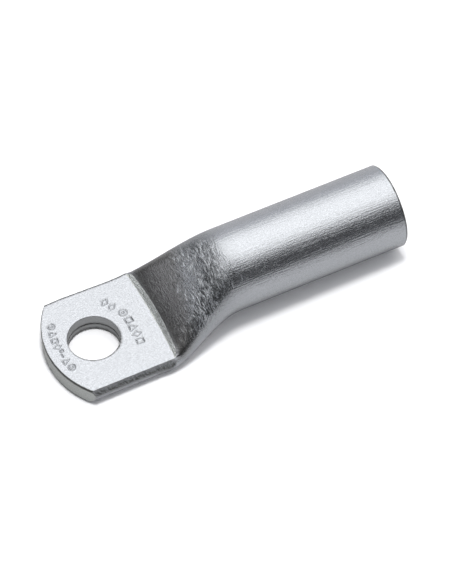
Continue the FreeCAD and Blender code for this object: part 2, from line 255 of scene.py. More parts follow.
def turns_at_coin_end():
    """Turns of the top lines and of the near side's lines, from the section at the ramp's foot."""
    dense = np.linspace(0.5, 1.999, 6000)
    points = outer(dense, COIN_END)
    y, z = points[:, 1], points[:, 2]
    shoulder = 1 + np.argmax((z < PALM) & (dense > 1))
    corner = dense[shoulder]
    face = y[shoulder]
    near = dense <= corner
    half = np.interp(np.linspace(0, -face, TOP_CELLS // 2 + 1), -y[near], dense[near])
    top = np.concatenate((1 - half[::-1], half[1:]))
    below = dense >= corner
    edge, level = np.interp((EDGE_RADIUS - PALM, WALL_REACH - PALM), -z[below], dense[below])
    side = np.concatenate((
        np.linspace(corner, edge, EDGE_CELLS + 1),
        np.linspace(edge, level, WALL_CELLS + 1)[1:],
        np.linspace(level, 2, FOLD_CELLS + 1)[1:]))
    return top, side


TOP_TURNS, SIDE_TURNS = turns_at_coin_end()
FLOOR_TURNS = np.linspace(2, 3, TOP_CELLS + 1)
LOOP_TURNS = np.concatenate((
    TOP_TURNS[:-1], SIDE_TURNS[:-1], FLOOR_TURNS[:-1], (5 - SIDE_TURNS[::-1])[:-1]))


def palm_side(radius):
    """Section (y, z) of the palm's near side, from the top's edge to the underside."""
    start = math.acos((FACE_HALF - FLAT_HALF) / FOLD)
    angle = np.linspace(math.pi / 2, 0, EDGE_CELLS + 1)
    edge = np.stack((-FACE_HALF + radius * (1 - np.cos(angle)),
                     PALM - radius * (1 - np.sin(angle))), -1)
    low = FOLD + FOLD * math.sin(start)
    wall = np.stack((np.full(WALL_CELLS, -FACE_HALF),
                     np.linspace(PALM - radius, low, WALL_CELLS + 1)[1:]), -1)
    angle = np.linspace(start, -math.pi / 2, FOLD_CELLS + 1)[1:]
    fold = np.stack((-FLAT_HALF - FOLD * np.cos(angle), FOLD + FOLD * np.sin(angle)), -1)
    return np.concatenate((edge, wall, fold))


def tip_at(y, z):
    """Where the tip's end lies on a line at y and z; its upper and lower edges are rounded."""
    centre = TIP_RADIUS - TIP_REACH
    arc = centre - np.sqrt(TIP_RADIUS ** 2 - y ** 2)
    corner_y = FLAT_HALF + FOLD - CORNER
    away = math.sqrt((TIP_RADIUS - CORNER) ** 2 - corner_y ** 2)
    corner_x = centre - away
    touch = corner_y + CORNER * corner_y / (TIP_RADIUS - CORNER)
    rounded = corner_x - np.sqrt(np.clip(CORNER ** 2 - (y - corner_y) ** 2, 0, None))
    end = np.where(y > touch, rounded, arc)
    over = np.clip(z - (PALM - TIP_EDGE_RADIUS), 0, TIP_EDGE_RADIUS)
    under = np.clip(LOW_EDGE_RADIUS - z, 0, LOW_EDGE_RADIUS)
    end = end + TIP_EDGE_RADIUS - np.sqrt(TIP_EDGE_RADIUS ** 2 - over ** 2)
    return end + LOW_EDGE_RADIUS - np.sqrt(LOW_EDGE_RADIUS ** 2 - under ** 2)


# The ramp ends within this length.
RAMP_REACH = 4.0


def surface_edge(turn):
    """Where a top line leaves the ramp: the flare's surface meets the cut there."""
    low = np.full(turn.shape, FOOT_START)
    high = np.full(turn.shape, FOOT_START + RAMP_REACH)
    for _ in range(40):
        middle = (low + high) / 2
        above = outer(turn, middle)[..., 2] > cut(middle)
        low = np.where(above, middle, low)
        high = np.where(above, high, middle)
    low[[0, -1]] = FOOT_START
    return low


# Patches -----------------------------------------------------------------------------------------

patches = []


def patch(points, closed=False, region="plain"):
    """Keeps a grid of points, rows by columns, as quads. Closed grids join their last column."""
    patches.append((np.asarray(points, float), closed, region))


# The far side isn't quite straight: how far it stands out at places along the palm.
FAR_PLACES = (-9.0, -6.5, -2.0, 2.5, 6.0, 9.6, 11.5, 13.0)
FAR_SWELL = (0.05, 0.12, 0.28, 0.16, 0.06, 0.0, 0.12, 0.30)


def swell(x):
    """The far side's swelling at x, smoothed."""
    return sum(np.interp(x + step, FAR_PLACES, FAR_SWELL) for step in (-0.8, -0.4, 0, 0.4, 0.8)) / 5


SLIDE_START = 7.0
BLEND_LINES = 6


def side_lines(sign):
    """The palm's side from the tip to the ramp's foot: stations by side lines.

    Below the wall the lines slide to the flare's turns before it starts, then follow its section;
    the wall itself stays upright.
    """
    palm = palm_side(EDGE_RADIUS if sign > 0 else NEAR_EDGE_RADIUS)
    start = tip_at(palm[:, 0] * -sign, palm[:, 1])
    lines = np.arange(SIDE_CELLS + 1)
    yields = np.clip((lines - EDGE_CELLS - 2) / BLEND_LINES, 0, 1)
    stays = np.clip((EDGE_CELLS + WALL_CELLS + BLEND_LINES - lines) / BLEND_LINES, 0, 1)
    stays = stays * (sign > 0)
    rows = []
    for step in np.linspace(0, 1, PALM_CELLS + 1):
        x = start + (FOOT_START - start) * step
        share = np.clip((x - SLIDE_START) / (FLARE_START - SLIDE_START), 0, 1)
        share = share * share * (3 - 2 * share) * yields
        flare = outer(SIDE_TURNS, np.maximum(x, FLARE_START))[:, 1:]
        flat = palm + (flare - palm) * share[:, None]
        rows.append(np.stack((x, flat[:, 0] * -sign + swell(x) * stays, flat[:, 1]), -1))
    return np.array(rows)


near_side = side_lines(-1)
far_side = side_lines(1)


# Noise is a sum of this many waves, and the divisor brings it to about 1.
WAVES = 14
WAVES_SUM = 5.3


def wander(points, seed, size):
    """Smooth noise from -1 to 1 at points, with bumps of about that size in millimetres."""
    source = np.random.default_rng(seed)
    result = np.zeros(points.shape[:-1])
    for _ in range(WAVES):
        way = source.normal(size=3)
        way /= np.linalg.norm(way)
        pitch = size * source.uniform(0.6, 1.8)
        result += np.sin(points @ way * 2 * math.pi / pitch + source.uniform(0, 2 * math.pi))
    return result / WAVES_SUM


# Tears in the sheared sides: their lines, depths, lean, stretch across and along, and size.
TORN_LINES = np.arange(1, 14)
TORN_DEPTH = np.interp(TORN_LINES, (1, 4, 6, 9, 13), (0.02, 0.03, 0.05, 0.05, 0.0))
TEAR_LEAN = 0.8
TEAR_ACROSS = 0.3
TEAR_ALONG = 0.25
TEAR_SIZE = 0.55


def tear(side, sign, seed):
    """Makes the upper part of a sheared side uneven, with slanting tears."""
    rows = side[1:-1, TORN_LINES]
    slanted = np.stack((rows[..., 0] + TEAR_LEAN * rows[..., 2], rows[..., 1] * TEAR_ACROSS,
                        (rows[..., 2] - TEAR_LEAN * rows[..., 0]) * TEAR_ALONG), -1)
    depth = np.clip(wander(slanted, seed, TEAR_SIZE), -1.2, 1.2) * TORN_DEPTH
    rows[..., 1] += sign * depth
    side[1:-1, TORN_LINES] = rows


tear(near_side, -1, 3)
tear(far_side, 1, 5)

top_z = np.full(TOP_CELLS + 1, PALM)
top_y = np.linspace(far_side[-1, 0, 1], near_side[-1, 0, 1], TOP_CELLS + 1)
top_foot = np.stack((FOOT_START + bulge(top_y), top_y, top_z), -1)
top_foot[0], top_foot[-1] = far_side[-1, 0], near_side[-1, 0]
tip_y = np.linspace(far_side[0, 0, 1], near_side[0, 0, 1], TOP_CELLS + 1)
top_tip = np.stack((tip_at(tip_y, top_z), tip_y, top_z), -1)
top_tip[0], top_tip[-1] = far_side[0, 0], near_side[0, 0]

floor_foot = outer(FLOOR_TURNS, np.full(FLOOR_TURNS.shape, FOOT_START))[::-1].copy()
floor_foot[0], floor_foot[-1] = far_side[-1, -1], near_side[-1, -1]
floor_y = np.linspace(1, -1, TOP_CELLS + 1) * FLAT_HALF
floor_z = np.zeros(floor_y.shape)
floor_tip = np.stack((tip_at(floor_y, floor_z), floor_y, floor_z), -1)

patch(near_side, region="near_side")
patch(far_side[:, ::-1], region="far_side")


def coons(top, bottom, left, right):
    """A patch between four edges: top and bottom run the same way, left and right downwards."""
    u = np.linspace(0, 1, len(top))[None, :, None]
    v = np.linspace(0, 1, len(left))[:, None, None]
    ruled = (1 - v) * top[None] + v * bottom[None] + (1 - u) * left[:, None] + u * right[:, None]
    corners = ((1 - u) * (1 - v) * top[0] + u * (1 - v) * top[-1]
               + (1 - u) * v * bottom[0] + u * v * bottom[-1])
    return ruled - corners


tip = coons(top_tip, floor_tip, far_side[0], near_side[0])
inside = tip[1:-1, 1:-1]
inside[..., 0] = tip_at(inside[..., 1], inside[..., 2])
patch(tip, region="tip")


def boundary(far, tip_edge, near, foot_edge):
    """The closed edge of the palm's top or underside, in one sense round the hole."""
    return np.concatenate((far[::-1][:-1], tip_edge[:-1], near[:-1], foot_edge[::-1][:-1]))


def round_hole(edge, radius, height, share):
    """Rows of points from a closed edge to the circle round the hole, at shares of the way."""
    angle = np.arctan2(edge[:, 1], edge[:, 0])
    ring = np.stack(
        (radius * np.cos(angle), radius * np.sin(angle), np.full(angle.shape, height)), -1)
    return edge[None] + (ring - edge)[None] * share[:, None, None], ring


# Rows of the palm's faces, as shares of the way from the edge to the hole; close under the marks.
TOP_SHARES = np.concatenate((
    (0, 0.018), np.linspace(0, 0.24, 5)[1:-1], np.linspace(0.24, 0.80, 39)[:-1],
    np.linspace(0.80, 1, 5)))
FLOOR_SHARES = np.linspace(0, 1, 9)

RING_STROKES = 18


def path_mark(*points):
    """A stroke through points."""
    return list(zip(points[:-1], points[1:]))


def ring_mark(radius):
    """A circle of short strokes round a mark's middle."""
    angles = np.radians(np.linspace(0.0, 360.0, RING_STROKES + 1))
    return path_mark(*((radius * math.cos(a), radius * math.sin(a)) for a in angles))


# Plain punch marks: ringed dots, boxes, triangles, diamonds and dashes. They stand for nothing.
DOT_RING = ring_mark(0.85) + ring_mark(0.18)
BOX = path_mark((-0.6, -0.7), (0.6, -0.7), (0.6, 0.7), (-0.6, 0.7), (-0.6, -0.7))
TRIANGLE = path_mark((-0.75, -0.75), (0.75, -0.75), (0.0, 0.85), (-0.75, -0.75))
DIAMOND = path_mark((0, -0.95), (0.65, 0), (0, 0.95), (-0.65, 0), (0, -0.95))
DASH = path_mark((-0.45, 0.0), (0.45, 0.0))
SMALL_BOX = path_mark((-0.3, 0.1), (0.3, 0.1), (0.3, 0.75), (-0.3, 0.75), (-0.3, 0.1))

# Each mark with its place (x, y); the rows bend round the tip and the hole.
MARKS = (
    (DOT_RING, -6.7, 6.45), (TRIANGLE, -7.25, 4.55), (BOX, -7.55, 2.85), (DIAMOND, -7.65, 1.25),
    (SMALL_BOX, -7.65, -0.1), (DASH, -7.65, -1.25), (TRIANGLE, -7.5, -2.8), (DOT_RING, -7.1, -4.75),
    (DIAMOND, 5.75, 7.2), (DIAMOND, 6.6, 5.5), (DOT_RING, 8.1, 3.2), (BOX, 8.35, 0.9),
    (TRIANGLE, 8.4, -1.1), (DIAMOND, 8.35, -2.9), (BOX, 8.3, -4.8),
)

# How much the marks turn along their rows, and how large those at the tip are beside the others.
LEAN = 0.055
HOLE_LEAN = LEAN * 1.6
TIP_SCALE = 0.85

# A mark's groove and the lip that is raised beside it.
MARK_DEPTH = 0.13
MARK_WIDTH = 0.42
MARK_LIP = 0.035
LIP_PLACE = 0.05
LIP_SPREAD = 0.09
GROOVE_POWER = 1.5


def strokes():
    """The start and end of every stroke on the palm's face; the marks' tops point to the barrel."""
    ends = []

    def put(mark, x, y, lean):
        across = np.array((math.sin(lean), -math.cos(lean)))
        upward = np.array((math.cos(lean), math.sin(lean)))
        for one, other in mark:
            ends.append([np.array((x, y)) + across * p[0] + upward * p[1] for p in (one, other)])

    for mark, x, y in MARKS:
        if x < 0:
            small = [[(TIP_SCALE * a, TIP_SCALE * b) for a, b in line] for line in mark]
            put(small, x, y, -LEAN * y)
        else:
            put(mark, x, y, HOLE_LEAN * max(y, -1.0))
    return np.array(ends)


def stamped(x, y):
    """Height of the stamped marks at points of the palm's face, and how deep in one they are."""
    nearest = np.full(x.shape, np.inf)
    for (x0, y0), (x1, y1) in strokes():
        run = np.array((x1 - x0, y1 - y0))
        along = np.clip(((x - x0) * run[0] + (y - y0) * run[1]) / (run @ run), 0, 1)
        nearest = np.minimum(nearest, np.hypot(x - x0 - along * run[0], y - y0 - along * run[1]))
    half = MARK_WIDTH / 2
    slope = np.cos(np.pi / 2 * np.minimum(nearest / half, 1)) ** GROOVE_POWER
    groove = np.where(nearest < half, slope, 0)
    lip = np.exp(-((nearest - half - LIP_PLACE) / LIP_SPREAD) ** 2) * (nearest > half)
    return MARK_LIP * lip - MARK_DEPTH * groove, groove


top_edge = boundary(far_side[:, 0], top_tip, near_side[:, 0], top_foot)
top_face, top_ring = round_hole(top_edge, HOLE + RIM, PALM, TOP_SHARES)
mark_height, mark_shade = stamped(top_face[..., 0], top_face[..., 1])
top_face[1:-1, :, 2] += mark_height[1:-1]
patch(top_face, closed=True, region="top")

floor_edge = boundary(far_side[:, -1], floor_tip, near_side[:, -1], floor_foot)
floor_face, floor_ring = round_hole(floor_edge, HOLE + RIM, 0.0, FLOOR_SHARES)
patch(floor_face, closed=True, region="floor")


def hole_wall():
    """The wall of the stud hole: rims, wall and the seam between the pressed layers."""
    top_angle = np.arctan2(top_ring[:, 1], top_ring[:, 0])
    low_angle = np.arctan2(floor_ring[:, 1], floor_ring[:, 0])
    low_angle = top_angle + np.mod(low_angle - top_angle + math.pi, 2 * math.pi) - math.pi
    turn = np.linspace(0, math.pi / 2, 4)
    profile = [(RIM * (1 - math.sin(t)), -RIM * (1 - math.cos(t))) for t in turn]
    heights = [PALM + z for _, z in profile]
    radii = [HOLE + r for r, _ in profile]
    for z in np.linspace(PALM - RIM, SEAM_HEIGHT + SEAM_DEPTH, 5)[1:]:
        heights.append(z)
        radii.append(HOLE)
    heights += [SEAM_HEIGHT, SEAM_HEIGHT - SEAM_DEPTH]
    radii += [HOLE + SEAM_DEPTH, HOLE]
    for z in np.linspace(SEAM_HEIGHT - SEAM_DEPTH, RIM, 4)[1:]:
        heights.append(z)
        radii.append(HOLE)
    for t in turn[::-1][1:]:
        heights.append(RIM * (1 - math.cos(t)))
        radii.append(HOLE + RIM * (1 - math.sin(t)))
    rows = []
    for z, r in zip(heights, radii):
        share = (PALM - z) / PALM
        angle = top_angle + (low_angle - top_angle) * share
        rows.append(np.stack((r * np.cos(angle), r * np.sin(angle), np.full(angle.shape, z)), -1))
    return np.array(rows)


patch(hole_wall(), closed=True, region="hole")

# The ramp: its fillet takes the first part of the way from the face to the flare's surface.
FOOT_SHARE = 0.3
RAMP_SHARES = np.concatenate((
    np.linspace(0, FOOT_SHARE, 6), np.linspace(FOOT_SHARE, 0.95, 11)[1:], (0.985, 1.0)))
TINY = 1e-6
edge_x = surface_edge(TOP_TURNS)
edge_line = outer(TOP_TURNS, edge_x)
edge_line[0], edge_line[-1] = top_foot[0], top_foot[-1]


def ramp():
    """Rows from the palm's face up the fillet and the ramp to the flare's surface."""
    rows = []
    foot_x = np.minimum(FOOT_END, edge_x)
    for part in RAMP_SHARES:
        foot = min(part / FOOT_SHARE, 1.0)
        climb = max((part - FOOT_SHARE) / (1 - FOOT_SHARE), 0.0)
        x = FOOT_START + (foot_x - FOOT_START) * foot + (edge_x - foot_x) * climb
        grow = (x - FOOT_START) / np.maximum(edge_x - FOOT_START, TINY)
        y = top_y + (edge_line[:, 1] - top_y) * grow
        z = cut(x)
        below = 1 - np.clip((z - PALM) / np.maximum(edge_line[:, 2] - PALM, TINY), 0, 1)
        row = np.stack((x + bulge(y) * below, y, z), -1)
        row[0], row[-1] = top_foot[0], top_foot[-1]
        rows.append(row)
    rows[0], rows[-1] = top_foot, edge_line
    return np.array(rows)


patch(ramp(), region="ramp")

# The outside from the ramp's edge to the mouth.
SHOULDER_END = COIN_END + 1.5
LAST_RING = BARREL_END - 0.2


def tube_rows():
    """Rows of the outside: along the flare, then along the barrel to the mouth's rim."""
    start_x = np.full(len(LOOP_TURNS), FOOT_START)
    start_x[:TOP_CELLS + 1] = edge_x
    shares = np.concatenate(((0, 0.002, 0.005), np.linspace(0, 1, FLARE_CELLS - 1)[1:]))
    rows = [outer(LOOP_TURNS, start_x + (FLARE_END - start_x) * share) for share in shares]
    for x in (*np.linspace(FLARE_END, LAST_RING, BARREL_CELLS + 1)[1:], BARREL_END):
        rows.append(outer(LOOP_TURNS, np.full(LOOP_TURNS.shape, x)))
    rows = np.array(rows)
    near_lines = np.arange(TOP_CELLS, TOP_CELLS + SIDE_CELLS + 1)
    far_lines = np.r_[np.arange(len(LOOP_TURNS) - SIDE_CELLS, len(LOOP_TURNS)), 0]
    for lines, side in ((near_lines, near_side[-1]), (far_lines, far_side[-1][::-1])):
        offset = (side - rows[0, lines])[:, 1:]
        left = np.clip((SHOULDER_END - rows[:, lines, 0]) / (SHOULDER_END - FOOT_START), 0, 1)
        rows[:, lines, 1:] += offset * (left ** 2)[..., None]
    return rows


patch(tube_rows(), closed=True, region="tube")


def ring_rows(profile):
    """Rings round the barrel's axis through (x, radius) points."""
    direction = on_section(circle(1.0), LOOP_TURNS) - [0, AXIS_HEIGHT]
    return np.array([np.concatenate((
        np.full((len(LOOP_TURNS), 1), x), direction * r + [0, AXIS_HEIGHT]), 1)
        for x, r in profile])


mouth = [(BARREL_END, TUBE / 2)]
mouth += [(BARREL_END + RIM_CHAMFER * t, TUBE / 2 - RIM_CHAMFER * t) for t in (0.33, 0.67, 1.0)]
mouth += [(MOUTH, r) for r in np.linspace(TUBE / 2 - RIM_CHAMFER, BORE + MOUTH_CHAMFER, 6)[1:]]
mouth += [(MOUTH - MOUTH_CHAMFER * t, BORE + MOUTH_CHAMFER * (1 - t)) for t in (0.5, 1.0)]
mouth += [(x, BORE) for x in np.linspace(MOUTH - MOUTH_CHAMFER, FLARE_END, 12)[1:]]
patch(ring_rows(mouth), closed=True, region="mouth")

hollow = np.array([
    inner(LOOP_TURNS, np.full(LOOP_TURNS.shape, x))
    for x in np.linspace(FLARE_END, SLIT_START, 22)])
patch(hollow, closed=True, region="bore")
end = hollow[-1]
slit_top = end[:TOP_CELLS + 1]
slit_low = end[TOP_CELLS + SIDE_CELLS:2 * TOP_CELLS + SIDE_CELLS + 1][::-1]
slit_near = end[TOP_CELLS:TOP_CELLS + SIDE_CELLS + 1]
slit_far = np.concatenate((end[2 * TOP_CELLS + SIDE_CELLS:], end[:1]))[::-1]
patch(coons(slit_top, slit_low, slit_far, slit_near), region="bore")


# Mesh --------------------------------------------------------------------------------------------

# The attribute "worn_and_sheen" says how the metal was worked: red for the marks of the dies, green
# for the sheared sides, blue for cropped and coined faces. Its alpha fades to 0 on the ramp's upper
# rows, which are painted paler: painted reflection on the freshly coined face. The attribute "dark"
# is
# painted shade and shadow: in the marks' grooves, along the palm's far edge and tip, down its near
# side, at the foot and on the near rim of the hole's wall. It also holds the hole's dark seam and a
# darker line round the mouth's rim.
WORKED = {
    "near_side": (0, 1, 0), "far_side": (0, 1, 0), "tip": (0, 0, 1), "ramp": (0, 0, 1),
    "hole": (0.45, 0, 0.2),
}
DIE_START, DIE_RISE = 13.0, 1.5
DIE_END, DIE_FADE = 31.5, 6.0
SHEAR_FADE = 1.2

# Knots and values: turns that the dies pressed, lines of the near side, rows of the ramp.
PRESSED_TURNS = (0, 1.25, 1.55, 3.45, 3.75, 4), (1, 1, 0, 0, 1, 1)
SHEARED_LINES = (1, 2, 10, 13), (0, 1, 1, 0)
# Rows of the ramp that get the paler colour: painted reflection on the freshly coined face.
COINED_SHEEN_ROWS = (3, 9), (1, 0)

# Knots and values of the attribute "dark", by height, by line or by x: painted shade and shadow,
# besides the hole's dark seam and a darker line round the mouth's rim.
# Painted shadow along the foot of the tip's wall and painted shade along its top edge.
TIP_WALL_SHADE = ((0, 0.1, 0.3, 0.45, PALM - 0.7, PALM - 0.5, PALM - 0.04, PALM),
            (1.0, 1.0, 0.5, 0, 0, 2.2, 2.2, 1.0))
# Painted shade along the far side's rounded top edge.
FAR_SIDE_SHADE = (0, 1, EDGE_CELLS, EDGE_CELLS + 2), (0.85, 0.95, 0.95, 0.2)
# A dark band down the near side: painted shade, mottled where the metal is torn.
NEAR_TORN_SHADE = (1, 4, 8, 9, 10, 11, 12, 13), (0, 0.2, 0.5, 0.85, 1.0, 0.8, 0.2, 0)
SEAM_DIRT = (0.15, 0.4), (0.75, 0.05)
# Painted shadow at the foot of the hole's wall.
HOLE_LOW_SHADOW = (0, 0.5, 0.9), (1.2, 1.0, 0)
# Painted shade on the hole's rim, on its near side only.
HOLE_RIM_SHADE = (PALM - RIM, PALM - 0.05), (0, 1.2)
# A darker line round the outside of the mouth's rim, on the tube's last ring and on the rim.
TUBE_RIM_DARK = (LAST_RING, BARREL_END), (0, 1.2)
MOUTH_RIM_DARK = (BARREL_END, BARREL_END + 0.06), (1.2, 1.8)
# Painted shade in the grooves of the stamped marks.
MARK_GROOVE_SHADE = 0.28

# Painted shade in the two outer rows of the palm's face, along the far side and along the tip, and
# the part of the hole's rim that has no painted shade.
FAR_EDGE_SHADE = [[0.85], [0.5]]
TIP_EDGE_SHADE = [[1.0], [0.1]]
UNSHADED_RIM = 0.4


def wear(region, grid):
    """The attributes "worn" and "dark" at the points of a patch."""
    rows, columns = grid.shape[:2]
    x, y, z = grid[..., 0], grid[..., 1], grid[..., 2]
    line = np.broadcast_to(np.arange(columns), (rows, columns))
    near_rim = np.clip(UNSHADED_RIM - y / HOLE, 0, 1)
    worn_and_sheen = np.zeros((rows, columns, 4))
    worn_and_sheen[..., :3] = WORKED.get(region, (0, 0, 0))
    worn_and_sheen[..., 3] = 1
    dark = np.zeros((rows, columns))
    if region == "tube":
        worn_and_sheen[..., 0] = (np.clip((x - DIE_START) / DIE_RISE, 0, 1)
                        * np.clip((DIE_END - x) / DIE_FADE, 0, 1))
        worn_and_sheen[..., 0] *= np.interp(LOOP_TURNS, *PRESSED_TURNS)
        # Darker just before the mouth's rim.
        dark = np.interp(x, *TUBE_RIM_DARK)
    elif region == "top":
        dark = MARK_GROOVE_SHADE * mark_shade
        # Painted shade in the face's two outer rows, along the far side and along the tip.
        dark[:2, :PALM_CELLS] = FAR_EDGE_SHADE
        dark[:2, PALM_CELLS:PALM_CELLS + TOP_CELLS] = TIP_EDGE_SHADE
        # Painted shade on the near part of the hole's rim.
        dark[-1] = near_rim[-1]
    elif region == "far_side":
        down = columns - 1 - line
        # Painted shade down the far side's top edge.
        dark = np.interp(down, *FAR_SIDE_SHADE)
        worn_and_sheen[down == 0, :3] = 0
    elif region == "near_side":
        # Painted shade in a band down the near side.
        dark = np.interp(line, *NEAR_TORN_SHADE)
        worn_and_sheen[..., 1] = np.interp(line, *SHEARED_LINES)
        worn_and_sheen[..., 1] *= np.clip((FOOT_START - x) / SHEAR_FADE, 0, 1)
    elif region == "tip":
        # Painted shadow at the tip's foot and painted shade under its top edge.
        dark = np.interp(z, *TIP_WALL_SHADE)
        worn_and_sheen[z > PALM - 0.001, :3] = 0
    elif region == "ramp":
        worn_and_sheen[..., 3] = np.interp(np.arange(rows), *COINED_SHEEN_ROWS)[:, None]
    elif region == "hole":
        worn_and_sheen[z > PALM - RIM, :3] = 0
        dark = np.interp(np.abs(z - SEAM_HEIGHT), *SEAM_DIRT)
        # Painted shadow at the foot of the hole's wall.
        dark += np.interp(z, *HOLE_LOW_SHADOW)
        # Painted shade on the near part of the hole's rim.
        dark += np.interp(z, *HOLE_RIM_SHADE) * near_rim
    elif region == "mouth":
        # Darker on the outer part of the mouth's rim.
        outside = np.hypot(y, z - AXIS_HEIGHT) > TUBE / 2 - RIM_CHAMFER - 0.01
        dark = np.interp(x, *MOUTH_RIM_DARK) * outside
    return worn_and_sheen.reshape(-1, 4), dark.reshape(-1)


WELD = 2e-7
SHARP_ANGLE = math.radians(40)


def build_mesh(name):
    """One welded mesh of all patches, with outward faces and the attributes worn and dark."""
    points, faces, worn_and_sheen, dark = [], [], [], []
    base = 0
    for grid, closed, region in patches:
        rows, columns = grid.shape[:2]
        index = base + np.arange(rows * columns).reshape(rows, columns)
        if closed:
            index = np.concatenate((index, index[:, :1]), 1)
        quads = np.stack((index[:-1, :-1], index[:-1, 1:], index[1:, 1:], index[1:, :-1]), -1)
        faces.append(quads.reshape(-1, 4))
        points.append(grid.reshape(-1, 3))
        colour, shade = wear(region, grid)
        worn_and_sheen.append(colour)
        dark.append(shade)
        base += rows * columns
    mesh = bpy.data.meshes.new(name)
    mesh.from_pydata((np.concatenate(points) * MM).tolist(), [], np.concatenate(faces).tolist())
    layer = mesh.attributes.new("worn_and_sheen", "FLOAT_COLOR", "POINT")
    layer.data.foreach_set("color", np.concatenate(worn_and_sheen).ravel())
    layer = mesh.attributes.new("dark", "FLOAT", "POINT")
    layer.data.foreach_set("value", np.concatenate(dark))
    work = bmesh.new()
    work.from_mesh(mesh)
    bmesh.ops.remove_doubles(work, verts=work.verts, dist=WELD)
    bmesh.ops.recalc_face_normals(work, faces=work.faces)
    work.to_mesh(mesh)
    work.free()
    mesh.shade_smooth()
    mesh.set_sharp_from_angle(angle=SHARP_ANGLE)
    return mesh


lug = bpy.data.objects.new("lug", build_mesh("lug"))
bpy.context.collection.objects.link(lug)


# Looks -------------------------------------------------------------------------------------------

class Nodes:
    """Short calls for the nodes of a material or a world."""

    def __init__(self, owner):
        owner.use_nodes = True
        self.tree = owner.node_tree

    def add(self, kind, **settings):
        """A new node with these settings."""
        node = self.tree.nodes.new("ShaderNode" + kind)
        for key, value in settings.items():
            setattr(node, key, value)
        return node

    def feed(self, node, **inputs):
        """Sets or links a node's inputs, by name or by number: From_Min, _0."""
        for key, value in inputs.items():
            name = int(key[1:]) if key[0] == "_" else key.replace("_", " ")
            socket = node.inputs[name]
            if isinstance(value, bpy.types.NodeSocket):
                self.tree.links.new(value, socket)
            else:
                socket.default_value = value
        return node

    def maths(self, operation, first, second):
        """The result of an operation on two values."""
        return self.feed(self.add("Math", operation=operation), _0=first, _1=second).outputs[0]

    def noise(self, place, scale, grain, detail, rough):
        """Noise stretched by scale, with about so many grains to a millimetre."""
        moved = self.add("VectorMath", operation="MULTIPLY")
        self.feed(moved, _0=place, _1=scale)
        node = self.add("TexNoise")
        self.feed(node, Vector=moved.outputs[0], Scale=grain, Detail=detail, Roughness=rough)
        return node.outputs["Fac"]

    def ramp(self, value, low, high, bottom=0.0, top=1.0):
        """A smooth step from bottom at low to top at high."""
        node = self.add("MapRange", interpolation_type="SMOOTHSTEP")
        self.feed(node, Value=value, From_Min=low, From_Max=high, To_Min=bottom, To_Max=top)
        return node.outputs["Result"]

    def tint(self, share, first, second):
        """The first colour, mixed with a share of the second."""
        node = self.add("Mix", data_type="RGBA")
        self.feed(node, _0=share, _6=first, _7=second)
        return node.outputs[2]


TIN_DARK, TIN_PALE = (0.60, 0.62, 0.65, 1), (0.75, 0.77, 0.80, 1)
# The die-rubbed tint, and the paler colour it turns to towards the barrel: there a painted sheen
# beside the barrel's highlight.
DIE_DARK, DIE_SHEEN = (0.25, 0.247, 0.242, 1), (0.39, 0.405, 0.42, 1)
SCUFFED = (0.82, 0.84, 0.87, 1)
CROPPED = (0.67, 0.69, 0.635, 1)
# Paler colour of the upper ramp: painted reflection on the freshly coined face.
COINED_AND_SHEEN = (0.88, 0.90, 0.85, 1)
SHEARED = (0.50, 0.51, 0.51, 1)
# The colour of the attribute "dark": painted shade and shadow, the hole's dark seam and the mouth's
# darker rim.
PAINTED_SHADE_AND_SEAM = (0.10, 0.10, 0.095, 1)


